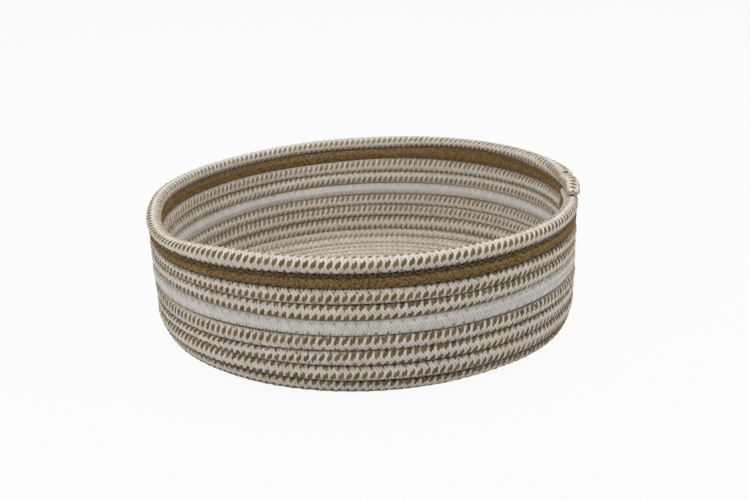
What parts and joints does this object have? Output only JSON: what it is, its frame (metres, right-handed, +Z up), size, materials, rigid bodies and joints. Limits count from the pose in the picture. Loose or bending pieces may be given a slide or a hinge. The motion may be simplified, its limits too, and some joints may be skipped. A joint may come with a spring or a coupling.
{
  "type": "fabric basket",
  "caption": "Round shallow open basket of flecked braided cord wound in a spiral and sewn row to row, with a brown and a white row round the wall.",
  "frame": {"origin": "on the floor under the middle of the basket", "axes": "+Z up out of the open mouth, +X to the side where every cord ends, -Y to the front"},
  "size_m": [0.2789, 0.2781, 0.0931],
  "materials": {
    "flecked_braid": "matte braid",
    "brown_braid": "matte braid",
    "white_braid": "matte braid",
    "filler": "matte fibre",
    "thread": "smooth thread"
  },
  "bodies": {
    "root": {"rim_cord_braid": "flecked_braid", "rim_cord_core": "filler", "brown_cord_braid": "brown_braid", "brown_cord_core": "filler", "upper_cord_braid": "flecked_braid", "upper_cord_core": "filler", "white_cord_braid": "white_braid", "white_cord_core": "filler", "lower_cord_braid": "flecked_braid", "lower_cord_core": "filler", "base_cord_braid": "flecked_braid", "base_cord_core": "filler", "bobbin_thread": "thread", "needle_thread": "thread"}
  },
  "joints": []
}
